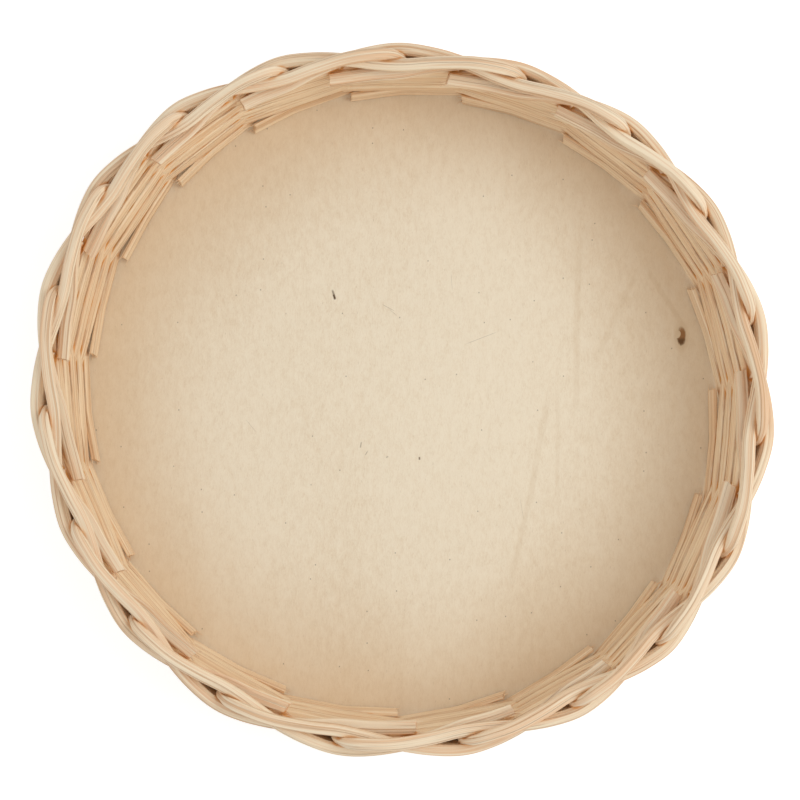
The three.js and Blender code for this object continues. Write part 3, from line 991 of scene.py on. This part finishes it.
def settings():
    """The sizes and the colours that are set in the scene."""
    scene = bpy.context.scene
    return scene.basket_sizes, scene.basket_colours


def add_canes(wall, mesh_of, material, name, node):
    """Adds a cane for each stake, which replaces a node of the construction."""
    for stake in range(STAKE_COUNT):
        number = f"_{stake + 1:02d}"
        piece = finish_mesh(name + number, *mesh_of(wall, stake))
        dress(piece, material, node + number)


class BASKET_OT_board(bpy.types.Operator):
    """Adds the plywood base board"""

    bl_idname = "basket.board"
    bl_label = "Base Board"

    def execute(self, context):
        sizes, colours = settings()
        piece = board_piece(Wall(sizes))
        dress(piece, board_finish(colours), "base_board")
        return {"FINISHED"}


class BASKET_OT_rods(bpy.types.Operator):
    """Adds the rods: foot, uprights and braided border"""

    bl_idname = "basket.rods"
    bl_label = "Rods"

    def execute(self, context):
        sizes, colours = settings()
        tones = linear(colours.rod), linear(colours.rod_streak)
        material = cane_finish("peeled_rod", *tones, ROD_CONTRAST, ROD_NOOK_SHADE)
        add_canes(Wall(sizes), rod_mesh, material, "rod", "stake")
        return {"FINISHED"}


class BASKET_OT_weavers(bpy.types.Operator):
    """Adds the split weavers of the side"""

    bl_idname = "basket.weavers"
    bl_label = "Weavers"

    def execute(self, context):
        sizes, colours = settings()
        tones = linear(colours.weaver), linear(colours.weaver_streak)
        material = cane_finish("split_weaver", *tones, WEAVER_CONTRAST, WEAVER_NOOK_SHADE)
        add_canes(Wall(sizes), weaver_mesh, material, "split", "weaver")
        return {"FINISHED"}


class BASKET_OT_nooks(bpy.types.Operator):
    """Marks where the canes are crowded, where their finish paints shade"""

    bl_idname = "basket.nooks"
    bl_label = "Nooks"

    def execute(self, context):
        mark_crowding([
            piece for piece in context.scene.objects
            if piece.type == "MESH" and "strand" in piece.data.attributes
        ])
        return {"FINISHED"}


# Stage

CAMERA_PLACE = (0, -0.041, 0.757)
CAMERA_TARGET = (-0.0005, -0.0025, 0.057)  # in the middle of the rim
SENSOR = 36.0
FRAME_WIDTH = 0.3213  # what the picture spans at the height of the rim
SKY_LOW = 1.0  # strength of the sky at the horizon
SKY_HIGH = 0.62  # and overhead
LAMP_ENERGY = 3.6
LAMP_SIZE = 0.8
LAMP_COLOUR = (1.0, 0.985, 0.96)
LAMP_PLACE = (0.75, 0.05, 0.85)
FLOOR_REACH = 4.0
FLOOR_GREY = 0.82
FLOOR_GLOW = 0.5  # added where the camera sees the floor


def add_nodes(tree, *kinds):
    """New shader nodes, one of each kind."""
    return [tree.nodes.new("ShaderNode" + kind) for kind in kinds]


class BASKET_OT_stage(bpy.types.Operator):
    """Adds the floor, the light and the camera"""

    bl_idname = "basket.stage"
    bl_label = "Stage"

    def execute(self, context):
        scene = context.scene
        scene.view_settings.view_transform = "Standard"
        self.floor()
        self.light(scene)
        self.camera(scene)
        return {"FINISHED"}

    def floor(self):
        """A wide pale floor that the camera sees as nearly white."""
        corners = np.array([(-1, -1, 0), (1, -1, 0), (1, 1, 0), (-1, 1, 0)]) * FLOOR_REACH
        piece = finish_mesh("floor", corners, [[0, 1, 2, 3]])
        finish = Finish("floor", specular=0.0)
        finish.vary(Base_Color=(FLOOR_GREY, FLOOR_GREY, FLOOR_GREY, 1.0), Roughness=1.0)
        tree, link = finish.tree, finish.tree.links.new
        path, glow, total = add_nodes(tree, "LightPath", "Emission", "AddShader")
        link(path.outputs["Is Camera Ray"], glow.inputs["Strength"])
        glow.inputs["Color"].default_value = (FLOOR_GLOW, FLOOR_GLOW, FLOOR_GLOW, 1.0)
        link(finish.shader.outputs[0], total.inputs[0])
        link(glow.outputs[0], total.inputs[1])
        link(total.outputs[0], tree.nodes["Material Output"].inputs["Surface"])
        piece.data.materials.append(finish.material)

    def light(self, scene):
        """A soft sky, brighter near the horizon and white to the camera, and a broad lamp above."""
        world = bpy.data.worlds.new("studio")
        world.use_nodes = True
        scene.world = world
        tree, link = world.node_tree, world.node_tree.links.new
        way, parts, level, seen, path = add_nodes(
            tree, "TexCoord", "SeparateXYZ", "MapRange", "Mix", "LightPath"
        )
        link(way.outputs["Generated"], parts.inputs[0])
        link(parts.outputs["Z"], level.inputs["Value"])
        level.inputs["To Min"].default_value = SKY_LOW
        level.inputs["To Max"].default_value = SKY_HIGH
        link(path.outputs["Is Camera Ray"], seen.inputs["Factor"])
        link(level.outputs[0], seen.inputs["A"])
        seen.inputs["B"].default_value = 1.0
        sky = tree.nodes["Background"]
        sky.inputs["Color"].default_value = (1.0, 1.0, 1.0, 1.0)
        link(seen.outputs[0], sky.inputs["Strength"])
        lamp = bpy.data.lights.new("overhead", "AREA")
        lamp.shape = "DISK"
        lamp.size = LAMP_SIZE
        lamp.energy = LAMP_ENERGY
        lamp.color = LAMP_COLOUR
        holder = bpy.data.objects.new("overhead", lamp)
        holder.location = LAMP_PLACE
        aim(holder, (0, 0, 0))
        scene.collection.objects.link(holder)

    def camera(self, scene):
        """Looks down on the basket from a little to the near side."""
        lens = bpy.data.cameras.new("camera")
        lens.sensor_width = SENSOR
        lens.lens = SENSOR * (CAMERA_PLACE[2] - CAMERA_TARGET[2]) / FRAME_WIDTH
        holder = bpy.data.objects.new("camera", lens)
        holder.location = CAMERA_PLACE
        aim(holder, CAMERA_TARGET)
        scene.collection.objects.link(holder)
        scene.camera = holder


def aim(holder, target):
    """Turns a lamp or a camera to look at a point, with +Y upwards in its picture."""
    way = np.array(target, float) - np.array(holder.location)
    tilt = math.atan2(math.hypot(way[0], way[1]), -way[2])
    turn = math.atan2(-way[0], way[1])
    holder.rotation_euler = (tilt, 0, turn)


class BASKET_PT_sidebar(bpy.types.Panel):
    """Lists the basket's sizes, colours and pieces."""

    bl_label = "Wicker Basket"
    bl_space_type = "VIEW_3D"
    bl_region_type = "UI"
    bl_category = "Basket"

    def draw(self, context):
        for group in settings():
            for name in group.__annotations__:
                self.layout.prop(group, name)
        for operator in OPERATORS:
            self.layout.operator(operator.bl_idname)


OPERATORS = (BASKET_OT_board, BASKET_OT_rods, BASKET_OT_weavers, BASKET_OT_nooks, BASKET_OT_stage)
CLASSES = (BasketSizes, BasketColours, *OPERATORS, BASKET_PT_sidebar)


def register():
    for item in CLASSES:
        bpy.utils.register_class(item)
    bpy.types.Scene.basket_sizes = bpy.props.PointerProperty(type=BasketSizes)
    bpy.types.Scene.basket_colours = bpy.props.PointerProperty(type=BasketColours)


def unregister():
    del bpy.types.Scene.basket_colours
    del bpy.types.Scene.basket_sizes
    for item in reversed(CLASSES):
        bpy.utils.unregister_class(item)


def main():
    """Builds the basket and its stage."""
    register()
    bpy.ops.basket.board()
    bpy.ops.basket.rods()
    bpy.ops.basket.weavers()
    bpy.ops.basket.nooks()
    bpy.ops.basket.stage()
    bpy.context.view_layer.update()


if __name__ == "__main__":
    main()
